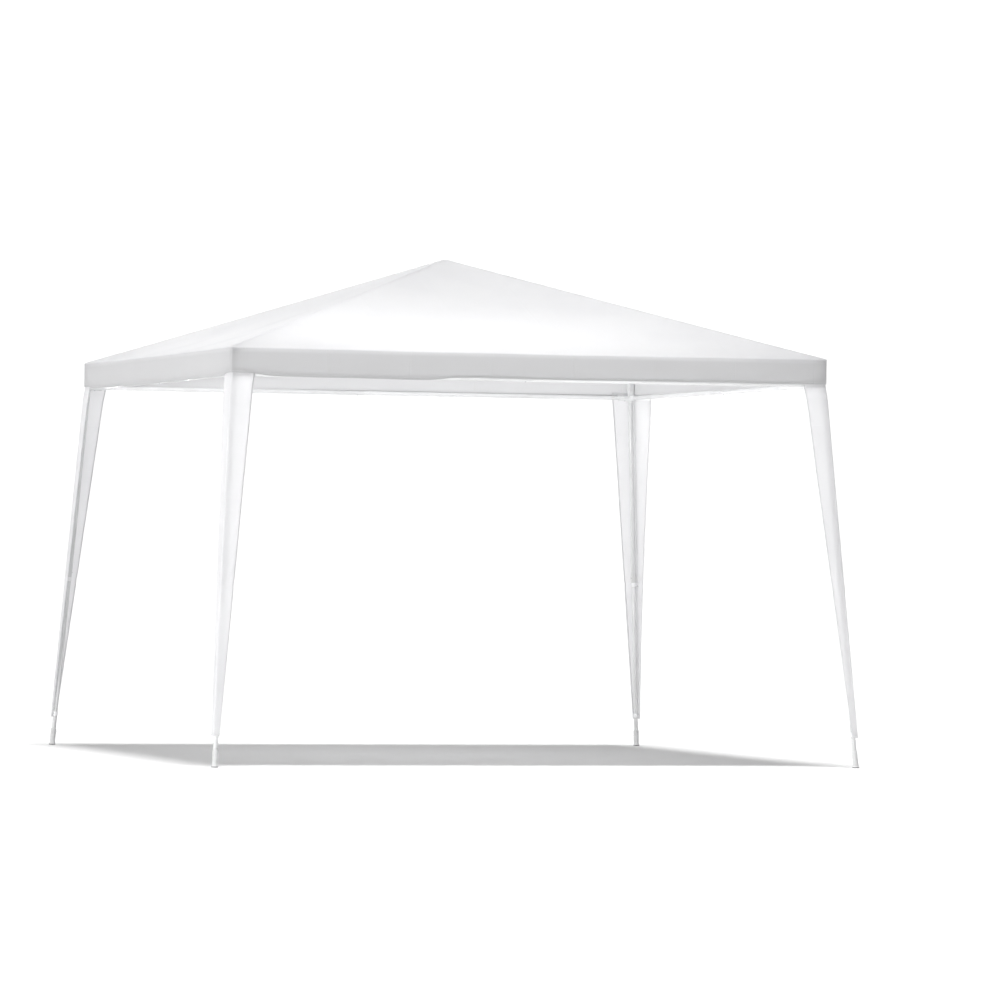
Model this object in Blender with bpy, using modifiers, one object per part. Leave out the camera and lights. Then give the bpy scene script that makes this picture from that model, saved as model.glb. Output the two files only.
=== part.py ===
"""Canopy tent: a white fabric pyramid roof on a square frame of steel tubes with slanted legs.

Metres, +Z up, front towards -Y. The origin is on the ground under the peak.
"""
import math

import bpy
import bmesh
from mathutils import Vector

# Overall size
EAVE_SPAN = 3.08          # outer faces of the valance, side to side
FOOT_SPAN_X = 3.29        # leg centre to leg centre on the ground, side to side
FOOT_SPAN_Y = 3.46        # and front to back
PEAK_HEIGHT = 2.565       # top of the roof fabric
FOLD_HEIGHT = 2.035       # fold between roof and valance
VALANCE_HEIGHT = 0.125
EAVE_TUBE_HEIGHT = 1.905  # centre of the eave tubes, just showing under the valance

# Fit between neighbouring pieces
CLEAR = 0.0003
SHEET = 0.006             # depth of the closed solids that stand for the fabric

# Steel tubes
TUBE_RADIUS = 0.011       # eave tubes, rafters and lower legs
LEG_RADIUS = 0.0125       # upper legs
TUBE_WALL = 0.0012
TUBE_SIDES = 16
SPIGOT_LENGTH = 0.06      # narrowed end that plugs into the next tube
LEG_JOINT_HEIGHT = 0.89
LEG_OVERLAP = 0.08

# Plastic connectors
SOCKET_WALL = 0.003
BODY_WIDTH = 0.030
BODY_BOTTOM = 1.887
BODY_BEVEL = 0.003
EAVE_SOCKET_REACH = 0.072  # from the corner's centre
EAVE_SOCKET_STOP = 0.017
RAFTER_SOCKET_REACH = 0.095
RAFTER_SOCKET_STOP = 0.022
LEG_COLLAR_RADIUS = 0.0135  # the upper leg butts against this collar
LEG_COLLAR_LENGTH = 0.008
LEG_SPIGOT_LENGTH = 0.060
HUB_RADIUS = 0.034
HUB_TOP_RADIUS = 0.010
HUB_BOTTOM = 2.512
HUB_EDGE = 0.003
HUB_SOCKET_REACH = 0.092
HUB_SOCKET_STOP = 0.024
HUB_SIDES = 32

# Foot caps
PAD_RADIUS = 0.017
PAD_HEIGHT = 0.005
CAP_HEIGHT = 0.085
CAP_FLOOR = 0.010         # plastic under the tube's end
CAP_SIDES = 24

# Leg covers
COVER_TOP_WIDTH = 0.120   # each wing, just under the valance
COVER_FOOT_WIDTH = 0.032
COVER_FOOT_HEIGHT = 0.15
COVER_FOOT_INSET = 0.0205  # outer face to the leg's axis at the lower end
WING_TURN = {"back_right": math.radians(40)}  # this side wing hangs turned outwards at the top
WING_LEVELS = 12          # steps up the turned wing, each a little less turned than the one above

HALF = EAVE_SPAN / 2
ROOF_SLOPE = (PEAK_HEIGHT - FOLD_HEIGHT) / HALF
SLOPE_LENGTH = math.hypot(1, ROOF_SLOPE)
CORNER = HALF - SHEET - CLEAR - BODY_WIDTH / 2
SOCKET_RADIUS = TUBE_RADIUS + CLEAR + SOCKET_WALL
LEG_SPIGOT_RADIUS = LEG_RADIUS - TUBE_WALL - CLEAR
VALANCE_BOTTOM = FOLD_HEIGHT - VALANCE_HEIGHT
RAFTER_DROP = SHEET + SLOPE_LENGTH * (SOCKET_RADIUS + CLEAR)

CORNERS = {
    "front_left": (-1, -1),
    "front_right": (1, -1),
    "back_left": (-1, 1),
    "back_right": (1, 1),
}

WHITE_FABRIC = ((0.86, 0.87, 0.88), 0.75, 0.0)
WHITE_STEEL = ((0.82, 0.83, 0.84), 0.35, 0.3)
WHITE_PLASTIC = ((0.74, 0.75, 0.76), 0.45, 0.0)
GREY_PLASTIC = ((0.60, 0.61, 0.62), 0.60, 0.0)


def clear_scene():
    for item in list(bpy.data.objects):
        bpy.data.objects.remove(item, do_unlink=True)


def make_collection(name):
    group = bpy.data.collections.new(name)
    bpy.context.scene.collection.children.link(group)
    return group


def finish(name, colour, roughness, metallic):
    """A plain surface finish for one named piece."""
    material = bpy.data.materials.new(name)
    material.use_nodes = True
    shader = material.node_tree.nodes["Principled BSDF"]
    shader.inputs["Base Color"].default_value = (*colour, 1)
    shader.inputs["Roughness"].default_value = roughness
    shader.inputs["Metallic"].default_value = metallic
    return material


def add_piece(name, mesh, look):
    piece = bpy.data.objects.new(name, mesh)
    TENT.objects.link(piece)
    mesh.materials.append(finish(name, *look))
    return piece


def add_cutter(name, mesh):
    cutter = bpy.data.objects.new(name, mesh)
    CUTTERS.objects.link(cutter)
    cutter.hide_render = True
    cutter.display_type = "WIRE"
    return cutter


def mesh_from(build, name):
    """A mesh filled by a function that works on a bmesh."""
    form = bmesh.new()
    build(form)
    bmesh.ops.recalc_face_normals(form, faces=form.faces)
    mesh = bpy.data.meshes.new(name)
    form.to_mesh(mesh)
    form.free()
    return mesh


def add_rod(form, start, end, radius, sides=TUBE_SIDES):
    """A capped cylinder from one point to another."""
    start = Vector(start)
    axis = Vector(end) - start
    rod = bmesh.ops.create_cone(
        form, cap_ends=True, segments=sides, radius1=radius, radius2=radius, depth=axis.length
    )
    turn = axis.to_track_quat("Z", "Y").to_matrix().to_4x4()
    turn.translation = start + axis / 2
    bmesh.ops.transform(form, matrix=turn, verts=rod["verts"])


def add_block(form, low, high):
    """A box between two opposite corners."""
    low = Vector(low)
    size = Vector(high) - low
    block = bmesh.ops.create_cube(form, size=1)
    bmesh.ops.scale(form, vec=size, verts=block["verts"])
    bmesh.ops.translate(form, vec=low + size / 2, verts=block["verts"])


def join_and_bore(piece, name, sockets, bores):
    """Union the sockets with the piece, then cut the bores. Each rod is start, end, radius."""
    for label, operation, rods in (("sockets", "UNION", sockets), ("bores", "DIFFERENCE", bores)):

        def build(form, rods=rods):
            for start, end, radius in rods:
                add_rod(form, start, end, radius)

        label = f"{name}_{label}"
        tool = add_cutter(label, mesh_from(build, label))
        boolean = piece.modifiers.new(label, "BOOLEAN")
        boolean.operation = operation
        boolean.solver = "EXACT"
        boolean.use_self = True
        boolean.object = tool


def add_turned(name, profile, sides, look, closed):
    """A piece turned about its own Z axis. The profile runs down its outer side."""
    mesh = bpy.data.meshes.new(name)
    points = [(radius, 0, height) for radius, height in profile]
    edges = [(i, i + 1) for i in range(len(points) - 1)]
    if closed:
        edges.append((len(points) - 1, 0))
    mesh.from_pydata(points, edges, [])
    piece = add_piece(name, mesh, look)
    screw = piece.modifiers.new("turn", "SCREW")
    screw.steps = sides
    screw.render_steps = sides
    screw.use_merge_vertices = True
    screw.merge_threshold = 0.00001
    screw.use_smooth_shade = True
    return piece


def place_along(piece, start, direction):
    piece.location = start
    piece.rotation_mode = "QUATERNION"
    piece.rotation_quaternion = direction.to_track_quat("Z", "Y")


def add_tube(name, start, end, radius=TUBE_RADIUS, spigot=0.0):
    """A steel tube from start to end. A spigot is a narrowed length before the start."""
    start = Vector(start)
    axis = Vector(end) - start
    length = axis.length
    bore = radius - TUBE_WALL
    profile = [(radius, length), (radius, 0)]
    if spigot:
        plug = bore - CLEAR
        profile += [(plug, 0), (plug, -spigot), (plug - TUBE_WALL, -spigot)]
        profile += [(plug - TUBE_WALL, TUBE_WALL), (bore, TUBE_WALL), (bore, length)]
    else:
        profile += [(bore, 0), (bore, length)]
    piece = add_turned(name, profile, TUBE_SIDES, WHITE_STEEL, closed=True)
    place_along(piece, start, axis)


def add_tube_pair(name, start, end, names):
    """Two tubes of equal length in line, the second plugged into the first."""
    start = Vector(start)
    end = Vector(end)
    middle = (start + end) / 2
    step = (end - start).normalized() * CLEAR
    add_tube(f"{name}_{names[0]}", start, middle)
    add_tube(f"{name}_{names[1]}", middle + step, end, spigot=SPIGOT_LENGTH)


def hip_height(distance):
    """Top of the fabric over the point (distance, distance)."""
    return PEAK_HEIGHT - ROOF_SLOPE * distance


def on_rafter(side, away):
    """A point on a rafter's axis, a plan distance away from the peak along each of X and Y."""
    return Vector((side[0] * away, side[1] * away, hip_height(away) - RAFTER_DROP))


def on_leg(side, height):
    """A point on a leg's axis."""
    foot = Vector((side[0] * FOOT_SPAN_X / 2, side[1] * FOOT_SPAN_Y / 2, 0))
    top = Vector((side[0] * CORNER, side[1] * CORNER, EAVE_TUBE_HEIGHT))
    return foot.lerp(top, height / EAVE_TUBE_HEIGHT)


def leg_top(side):
    """The lower face of the connector's collar, which the leg reaches up to."""
    return on_leg(side, BODY_BOTTOM - LEG_COLLAR_LENGTH)


def plan_step(length):
    """Plan distance along X that a length along the rafter covers."""
    return length / math.hypot(math.sqrt(2), ROOF_SLOPE)


def add_corner_connector(place, side):
    """Moulded corner: a post with sockets for two eave tubes and a rafter, and a spigot for a leg."""
    name = f"corner_connector_{place}"
    centre = Vector((side[0] * CORNER, side[1] * CORNER, 0))
    reach = Vector((BODY_WIDTH / 2, BODY_WIDTH / 2, 0))
    top = hip_height(HALF - SHEET - CLEAR) - SHEET - CLEAR

    def body(form):
        add_block(form, centre - reach + Vector((0, 0, BODY_BOTTOM)), centre + reach + Vector((0, 0, top)))

    piece = add_piece(name, mesh_from(body, name), WHITE_PLASTIC)
    bevel = piece.modifiers.new("rounding", "BEVEL")
    bevel.width = BODY_BEVEL
    bevel.segments = 2
    eave_centre = centre + Vector((0, 0, EAVE_TUBE_HEIGHT))
    sockets = []
    bores = []
    for axis in (Vector((-side[0], 0, 0)), Vector((0, -side[1], 0))):
        end = eave_centre + axis * EAVE_SOCKET_REACH
        sockets.append((eave_centre + axis * (BODY_WIDTH / 2 - 0.0005), end, SOCKET_RADIUS))
        bores.append((eave_centre + axis * EAVE_SOCKET_STOP, end + axis * 0.01, TUBE_RADIUS + CLEAR))
    start = on_rafter(side, CORNER - plan_step(RAFTER_SOCKET_STOP))
    end = on_rafter(side, CORNER - plan_step(RAFTER_SOCKET_REACH))
    along = (end - start).normalized()
    sockets.append((start - along * 0.006, end, SOCKET_RADIUS))
    bores.append((start, end + along * 0.01, TUBE_RADIUS + CLEAR))
    start = on_leg(side, BODY_BOTTOM + BODY_WIDTH / 4)
    end = leg_top(side)
    along = (end - start).normalized()
    sockets.append((start, end, LEG_COLLAR_RADIUS))
    sockets.append((end - along * 0.002, end + along * LEG_SPIGOT_LENGTH, LEG_SPIGOT_RADIUS))
    join_and_bore(piece, name, sockets, bores)


def add_peak_connector():
    """Moulded hub under the roof's point, with a socket for each rafter."""
    name = "peak_connector"
    lift = PEAK_HEIGHT - SHEET - CLEAR
    profile = [
        (0, lift - ROOF_SLOPE * HUB_TOP_RADIUS),
        (HUB_TOP_RADIUS, lift - ROOF_SLOPE * HUB_TOP_RADIUS),
        (HUB_RADIUS, lift - ROOF_SLOPE * HUB_RADIUS),
        (HUB_RADIUS, HUB_BOTTOM + HUB_EDGE),
        (HUB_RADIUS - HUB_EDGE, HUB_BOTTOM),
        (0, HUB_BOTTOM),
    ]
    piece = add_turned(name, profile, HUB_SIDES, WHITE_PLASTIC, closed=False)
    sockets = []
    bores = []
    for side in CORNERS.values():
        start = on_rafter(side, plan_step(HUB_SOCKET_STOP))
        end = on_rafter(side, plan_step(HUB_SOCKET_REACH))
        along = (end - start).normalized()
        sockets.append((start - along * 0.002, end, SOCKET_RADIUS))
        bores.append((start, end + along * 0.01, TUBE_RADIUS + CLEAR))
    join_and_bore(piece, name, sockets, bores)


def add_foot_cap(place, side):
    """Plastic boot pushed on the leg's end, with a flat round sole on the ground."""
    name = f"foot_cap_{place}"
    ground = on_leg(side, 0)
    along = (on_leg(side, 1) - ground).normalized()

    def pad(form):
        add_rod(form, ground, ground + Vector((0, 0, PAD_HEIGHT)), PAD_RADIUS, CAP_SIDES)

    piece = add_piece(name, mesh_from(pad, name), GREY_PLASTIC)
    sleeve = (ground + along * PAD_HEIGHT / 2, ground + along * CAP_HEIGHT, SOCKET_RADIUS)
    bore = (ground + along * CAP_FLOOR, ground + along * (CAP_HEIGHT + 0.01), TUBE_RADIUS + CLEAR)
    join_and_bore(piece, name, [sleeve], [bore])


def add_leg(place, side):
    """Two leg tubes: the thinner lower one slides into the upper one and stands in its foot cap."""
    ground = on_leg(side, 0)
    along = (on_leg(side, 1) - ground).normalized()
    top = leg_top(side) - along * CLEAR
    joint = on_leg(side, LEG_JOINT_HEIGHT)
    add_tube(f"upper_leg_{place}", joint, top, radius=LEG_RADIUS)
    add_tube(f"lower_leg_{place}", ground + along * (CAP_FLOOR + CLEAR), joint + along * LEG_OVERLAP)


def add_eave_tubes():
    end = CORNER - EAVE_SOCKET_STOP - CLEAR
    for row, y in (("front", -CORNER), ("back", CORNER)):
        start = (-end, y, EAVE_TUBE_HEIGHT)
        add_tube_pair(f"eave_tube_{row}", start, (end, y, EAVE_TUBE_HEIGHT), ("left", "right"))
    for row, x in (("left", -CORNER), ("right", CORNER)):
        start = (x, -end, EAVE_TUBE_HEIGHT)
        add_tube_pair(f"eave_tube_{row}", start, (x, end, EAVE_TUBE_HEIGHT), ("front", "back"))


def add_rafters():
    for place, side in CORNERS.items():
        low = on_rafter(side, CORNER - plan_step(RAFTER_SOCKET_STOP + CLEAR))
        high = on_rafter(side, plan_step(HUB_SOCKET_STOP + CLEAR))
        add_tube_pair(f"rafter_{place}", low, high, ("lower", "upper"))


def turn_quarter(point, quarters):
    """Turn a point about the vertical axis by quarter turns."""
    x, y, z = point
    for _ in range(quarters):
        x, y = -y, x
    return Vector((x, y, z))


def add_roof_panels():
    """Four triangular panels that meet along the hips, drawn for the front and turned."""
    edge = HALF - CLEAR
    outline = [(-edge, -HALF, FOLD_HEIGHT), (edge, -HALF, FOLD_HEIGHT), (0, -CLEAR, PEAK_HEIGHT)]
    for quarters, row in enumerate(("front", "right", "back", "left")):
        name = f"roof_panel_{row}"

        def slab(form, quarters=quarters):
            corners = [form.verts.new(turn_quarter(point, quarters)) for point in outline]
            face = form.faces.new(corners)
            grown = bmesh.ops.extrude_face_region(form, geom=[face])
            lower = [item for item in grown["geom"] if isinstance(item, bmesh.types.BMVert)]
            bmesh.ops.translate(form, vec=(0, 0, -SHEET), verts=lower)

        add_piece(name, mesh_from(slab, name), WHITE_FABRIC)


def add_valances():
    """Straight skirts round the eaves. The left and right ones fit between the other two."""
    top = FOLD_HEIGHT - SHEET - CLEAR
    inner = HALF - SHEET
    blocks = {
        "front": ((-HALF, -HALF, VALANCE_BOTTOM), (HALF, -inner, top)),
        "back": ((-HALF, inner, VALANCE_BOTTOM), (HALF, HALF, top)),
        "left": ((-HALF, -inner + CLEAR, VALANCE_BOTTOM), (-inner, inner - CLEAR, top)),
        "right": ((inner, -inner + CLEAR, VALANCE_BOTTOM), (HALF, inner - CLEAR, top)),
    }
    for row, (low, high) in blocks.items():
        name = f"valance_{row}"

        def skirt(form, low=low, high=high):
            add_block(form, low, high)

        add_piece(name, mesh_from(skirt, name), WHITE_FABRIC)


def cover_section(corner, front_wing, side_wing, width):
    """Outline of a leg cover at one height: two wings that meet at the outer corner."""
    sine = front_wing.cross(side_wing).length
    lean = front_wing.dot(side_wing)
    front_in = (side_wing - front_wing * lean) / sine * SHEET
    side_in = (front_wing - side_wing * lean) / sine * SHEET
    return [
        corner,
        corner + front_wing * width,
        corner + front_wing * width + front_in,
        corner + (front_wing + side_wing) / sine * SHEET,
        corner + side_wing * width + side_in,
        corner + side_wing * width,
    ]


def add_leg_cover(place, side):
    """Tapered fabric cover folded round the leg, from the valance almost to the ground."""
    name = f"leg_cover_{place}"
    turn = WING_TURN.get(place, 0)
    levels = WING_LEVELS if turn else 1
    front_wing = Vector((-side[0], 0, 0))
    out = Vector((side[0] * COVER_FOOT_INSET, side[1] * COVER_FOOT_INSET, 0))
    foot_corner = on_leg(side, COVER_FOOT_HEIGHT) + out
    top_corner = Vector((side[0] * HALF, side[1] * HALF, VALANCE_BOTTOM - CLEAR))
    sections = []
    for level in range(levels + 1):
        share = level / levels
        angle = turn * share
        side_wing = Vector((side[0] * math.sin(angle), -side[1] * math.cos(angle), 0))
        width = COVER_FOOT_WIDTH + (COVER_TOP_WIDTH - COVER_FOOT_WIDTH) * share
        corner = foot_corner.lerp(top_corner, share)
        sections.append(cover_section(corner, front_wing, side_wing, width))

    def wings(form):
        """Rings joined by triangles. Both faces of a wing are split along the same diagonal."""
        rings = [[form.verts.new(point) for point in section] for section in sections]
        for ring, upper in zip(rings, rings[1:]):
            for i in range(len(ring)):
                j = (i + 1) % len(ring)
                if i in (2, 5):
                    form.faces.new((ring[i], ring[j], upper[i]))
                    form.faces.new((ring[j], upper[j], upper[i]))
                else:
                    form.faces.new((ring[i], ring[j], upper[j]))
                    form.faces.new((ring[i], upper[j], upper[i]))
        form.faces.new(rings[0])
        form.faces.new(rings[-1])

    add_piece(name, mesh_from(wings, name), WHITE_FABRIC)


clear_scene()
TENT = make_collection("canopy_tent")
CUTTERS = make_collection("cutters")
for corner_name, corner_side in CORNERS.items():
    add_foot_cap(corner_name, corner_side)
    add_leg(corner_name, corner_side)
    add_corner_connector(corner_name, corner_side)
    add_leg_cover(corner_name, corner_side)
add_eave_tubes()
add_rafters()
add_peak_connector()
add_roof_panels()
add_valances()
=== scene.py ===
"""Looks of a canopy tent: a white woven sheet over a frame of steel tubes on slanted legs.

Metres, +Z up, front towards -Y. The origin is on the ground under the peak.
"""
import math
from collections import namedtuple

import bmesh
import bpy
from mathutils import Matrix, Vector, noise


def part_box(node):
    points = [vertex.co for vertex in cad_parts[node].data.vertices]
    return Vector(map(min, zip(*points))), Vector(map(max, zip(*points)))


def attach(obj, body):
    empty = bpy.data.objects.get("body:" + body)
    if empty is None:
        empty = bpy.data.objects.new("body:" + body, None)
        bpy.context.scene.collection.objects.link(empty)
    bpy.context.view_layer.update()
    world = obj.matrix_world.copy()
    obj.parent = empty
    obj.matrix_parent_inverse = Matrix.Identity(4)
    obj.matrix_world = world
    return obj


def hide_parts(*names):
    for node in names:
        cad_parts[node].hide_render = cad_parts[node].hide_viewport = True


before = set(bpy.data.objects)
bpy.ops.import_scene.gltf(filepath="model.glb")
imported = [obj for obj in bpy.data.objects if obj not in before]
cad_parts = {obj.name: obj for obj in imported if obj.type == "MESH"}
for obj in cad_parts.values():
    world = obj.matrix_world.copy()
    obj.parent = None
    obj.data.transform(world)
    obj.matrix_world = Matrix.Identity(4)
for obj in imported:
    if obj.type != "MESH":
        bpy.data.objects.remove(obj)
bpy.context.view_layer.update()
scene = bpy.context.scene

# Camera.
# It stands at chest height to the left of the front, far back, and looks through a long lens, so
# that the far legs look nearly as tall as the near ones.
CAMERA_PLACE = Vector((-9.219, -30.923, 1.024))
CAMERA_YAW = 0.29895
CAMERA_PITCH = 0.00928
CAMERA_ROLL = 0.01148
CAMERA_LENS = 225.13
CAMERA_SENSOR = 36.0
CAMERA_REACH = 2000.0


def camera_turn(yaw, pitch, roll):
    """Rotation of a camera that looks yaw to the right of +Y and pitch up, and leans by roll."""
    ahead = Vector((math.sin(yaw) * math.cos(pitch), math.cos(yaw) * math.cos(pitch), math.sin(pitch)))
    level = Vector((math.cos(yaw), -math.sin(yaw), 0))
    upright = level.cross(ahead)
    right = level * math.cos(roll) + upright * math.sin(roll)
    up = upright * math.cos(roll) - level * math.sin(roll)
    return Matrix((right, up, -ahead)).transposed()


camera = bpy.data.objects.new("camera", bpy.data.cameras.new("camera"))
camera.data.lens = CAMERA_LENS
camera.data.sensor_width = CAMERA_SENSOR
camera.data.clip_end = CAMERA_REACH
camera.matrix_world = Matrix.LocRotScale(
    CAMERA_PLACE, camera_turn(CAMERA_YAW, CAMERA_PITCH, CAMERA_ROLL), None
)
scene.collection.objects.link(camera)
scene.camera = camera

# Studio.
# A round pale floor lies in a surround that is brightest low down behind the tent. A broad lamp high
# overhead draws the soft shadow. Low lamps far out in front, at the left and behind light the upright
# cloth, and long ones hang over the front and left eaves.
FLOOR_RADIUS = 5.0
FLOOR_SIDES = 96
FLOOR_CENTRE = (0, -0.8, 0)
FLOOR_WHITE = (0.76, 0.76, 0.76)
FLOOR_DIMMER = (0.7486, 0.7486, 0.7486)
SURROUND_TOWARDS = (-0.15, 0.25, -0.955)
SURROUND_EDGES = (-0.50, 0.12)
SURROUND_STRENGTHS = (0.35, 1.12)
LAMPS = {
    "overhead_lamp": ((0, -2.3, 22.0), (0, -0.8, 0), (4.8, 4.8), 5350.0),
    "fill_lamp": ((-16.6, -10.0, 0.7), (0, 0, 1.2), (5.0, 1.2), 1740.0),
    "front_lamp": ((9.5, -17.0, 0.7), (0, 0, 1.2), (5.0, 1.2), 150.0),
    "back_lamp": ((3.5, 19.0, 0.7), (0, 0, 1.2), (4.0, 1.2), 650.0),
    "front_eave_lamp": ((-0.35, -1.36, 2.75), (-0.35, -1.36, 0), (2.3, 0.3), 7.3),
    "left_eave_lamp": ((-1.40, 0.25, 2.75), (-1.40, 0.25, 0), (0.3, 2.0), 3.5),
}


def add_node(tree, kind, inputs, **settings):
    """A node with its settings, and its inputs filled."""
    node = tree.nodes.new(kind)
    for key, value in settings.items():
        setattr(node, key, value)
    fill_node(tree, node, inputs)
    return node


def fill_node(tree, node, inputs):
    """Sets a node's inputs, by name or number: to values, to sockets, or to nodes' first outputs."""
    for label, value in inputs.items():
        if isinstance(value, bpy.types.Node):
            value = value.outputs[0]
        if isinstance(value, bpy.types.NodeSocket):
            tree.links.new(value, node.inputs[label])
        else:
            node.inputs[label].default_value = value


def grain(tree, where, scale, detail=3.0, stretch=(1, 1, 1)):
    """Noise from 0 to 1 on the coordinates given, in features per metre."""
    mapping = add_node(tree, "ShaderNodeMapping", {"Vector": where, "Scale": stretch})
    inputs = {"Vector": mapping, "Scale": scale, "Detail": detail}
    return add_node(tree, "ShaderNodeTexNoise", inputs).outputs["Fac"]


def spread(tree, value, low, high, start=0.0, end=1.0):
    """A value mapped smoothly from low..high to start..end, and held there."""
    inputs = {"Value": value, "From Min": low, "From Max": high, "To Min": start, "To Max": end}
    return add_node(tree, "ShaderNodeMapRange", inputs, interpolation_type="SMOOTHSTEP").outputs[0]


def tint(tree, share, first, second):
    """A colour between two, each fixed or from a socket, by a share from 0 to 1."""
    ends = [end if isinstance(end, bpy.types.NodeSocket) else (*end, 1) for end in (first, second)]
    node = add_node(tree, "ShaderNodeMix", {"Factor": share}, data_type="RGBA")
    labels = [number for number, socket in enumerate(node.inputs) if socket.type == "RGBA"]
    fill_node(tree, node, dict(zip(labels, ends)))
    return next(socket for socket in node.outputs if socket.type == "RGBA")


def object_place(tree):
    return tree.nodes.new("ShaderNodeTexCoord").outputs["Object"]


def new_finish(name, recipe, *values):
    """A material whose Principled shader takes its inputs from a recipe."""
    material = bpy.data.materials.new(name)
    material.use_nodes = True
    tree = material.node_tree
    fill_node(tree, tree.nodes["Principled BSDF"], recipe(tree, *values))
    return material


def floor_paint(tree):
    """Matt pale studio floor with a faint unevenness."""
    cloud = grain(tree, object_place(tree), 0.8)
    colour = tint(tree, cloud, FLOOR_DIMMER, FLOOR_WHITE)
    return {"Base Color": colour, "Roughness": 0.95, "Specular IOR Level": 0.1}


def light_surround():
    """Light from all round, brightest low down behind the tent."""
    scene.world = bpy.data.worlds.new("surround")
    scene.world.use_nodes = True
    tree = scene.world.node_tree
    where = tree.nodes.new("ShaderNodeTexCoord").outputs["Generated"]
    inputs = {0: where, 1: SURROUND_TOWARDS}
    towards = add_node(tree, "ShaderNodeVectorMath", inputs, operation="DOT_PRODUCT")
    strength = spread(tree, towards.outputs["Value"], *SURROUND_EDGES, *SURROUND_STRENGTHS)
    fill_node(tree, tree.nodes["Background"], {"Color": (1, 1, 1, 1), "Strength": strength})


def add_lamp(name, place, aim, sizes, power):
    """A soft round or oval lamp that is hidden from the camera."""
    lamp = bpy.data.objects.new(name, bpy.data.lights.new(name, "AREA"))
    lamp.data.shape = "ELLIPSE"
    lamp.data.size, lamp.data.size_y = sizes
    lamp.data.energy = power
    lamp.location = place
    lamp.rotation_mode = "QUATERNION"
    lamp.rotation_quaternion = (Vector(aim) - Vector(place)).to_track_quat("-Z", "Y")
    lamp.visible_camera = False
    scene.collection.objects.link(lamp)


def new_piece(name, mesh, *finishes):
    """A mesh object in the scene, at the origin."""
    for finish in finishes:
        mesh.materials.append(finish)
    piece = bpy.data.objects.new(name, mesh)
    scene.collection.objects.link(piece)
    return piece


def form_mesh(form, name):
    """A mesh from a bmesh, which is freed."""
    mesh = bpy.data.meshes.new(name)
    form.to_mesh(mesh)
    form.free()
    return mesh


floor_form = bmesh.new()
bmesh.ops.create_circle(floor_form, cap_ends=True, segments=FLOOR_SIDES, radius=FLOOR_RADIUS)
bmesh.ops.translate(floor_form, verts=floor_form.verts, vec=FLOOR_CENTRE)
paint = new_finish("studio_floor", floor_paint)
floor = new_piece("studio_floor", form_mesh(floor_form, "studio_floor"), paint)
light_surround()
for name, values in LAMPS.items():
    add_lamp(name, *values)
scene.view_settings.view_transform = "Standard"

# Steel tubes.
# The frame is steel tube, 22 and 25 mm across, powder coated white; on the legs the coat is painted
# light grey, as shade.
# Each eave and rafter is two tubes, one plugged into the other, and each leg's lower tube slides in
# its upper one. Spring buttons lock them through holes near the joints.
TUBE_SIDES = 40
TUBE_WALL = 0.0010
TUBE_EDGE = 0.0005
TUBE_SAME = 0.0003
TUBE_CREASE = math.radians(50)
ROUND_SHARE = 0.3
AXIS_PASSES = 12
BUTTON_RADIUS = 0.0035
BUTTON_RISE = 0.0028
BUTTON_RIM = 0.0008
BUTTON_LIP = 0.0001
BUTTON_SINK = 0.001
BUTTON_EYE = 0.0002
BUTTON_STEPS = 5
BUTTON_SIDES = 16
BUTTON_FROM_JOINT = 0.032
COAT_WHITE = (0.80, 0.805, 0.81)
COAT_DUSTY = (0.72, 0.72, 0.72)
COAT_WORN = (0.55, 0.56, 0.57)
# Painted shade: the legs' grey stands in for the shade on the white-coated tubes.
LEG_PAINTED_SHADE = (0.64, 0.645, 0.65)
LEG_DUSTY = (0.58, 0.58, 0.58)
LEG_WEAR = 0.03
STEEL_GREY = (0.52, 0.53, 0.55)

ROOT = "root"
UP = Vector((0, 0, 1))
PLACES = {
    "front_left": (-1, -1),
    "front_right": (1, -1),
    "back_left": (-1, 1),
    "back_right": (1, 1),
}
ROWS = ("front", "right", "back", "left")
ROW_TUBES = ("front_left", "right_front", "back_left", "left_front")


def settle(piece, slot, *nodes):
    """The piece stands on the frame and may stand for CAD nodes. Slot is not used."""
    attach(piece, ROOT)
    if nodes:
        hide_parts(*nodes)


def round_ring(form, centre, axis, radius, sides):
    """A ring of points, square to an axis."""
    turn = axis.to_track_quat("Z", "Y")
    ring = []
    for side in range(sides):
        angle = 2 * math.pi * side / sides
        spoke = turn @ Vector((math.cos(angle), math.sin(angle), 0))
        ring.append(form.verts.new(centre + spoke * radius))
    return ring


def join_rings(form, rings):
    """Smooth faces from each ring of points to the next."""
    for ring, other in zip(rings, rings[1:]):
        for side in range(len(ring)):
            after = (side + 1) % len(ring)
            form.faces.new((ring[side], ring[after], other[after], other[side])).smooth = True


def creased_mesh(form, name, angle):
    """A mesh from a bmesh, its faces turned outwards and its edges sharp past an angle."""
    bmesh.ops.recalc_face_normals(form, faces=form.faces)
    mesh = form_mesh(form, name)
    mesh.set_sharp_from_angle(angle=angle)
    return mesh


def turned_mesh(name, profile, start, end, sides):
    """A closed section, points of radius and distance, turned about the line from start to end."""
    axis = (end - start).normalized()
    form = bmesh.new()
    rings = []
    for radius, distance in profile:
        rings.append(round_ring(form, start + axis * distance, axis, radius, sides))
    join_rings(form, rings + rings[:1])
    return creased_mesh(form, name, TUBE_CREASE)


def relief(tree, height, distance, strength=1.0, under=None):
    """A Bump node, on another's normal or on the bare face. Returns its normal."""
    inputs = {"Height": height, "Distance": distance, "Strength": strength}
    if under is not None:
        inputs["Normal"] = under
    return add_node(tree, "ShaderNodeBump", inputs).outputs["Normal"]


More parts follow.
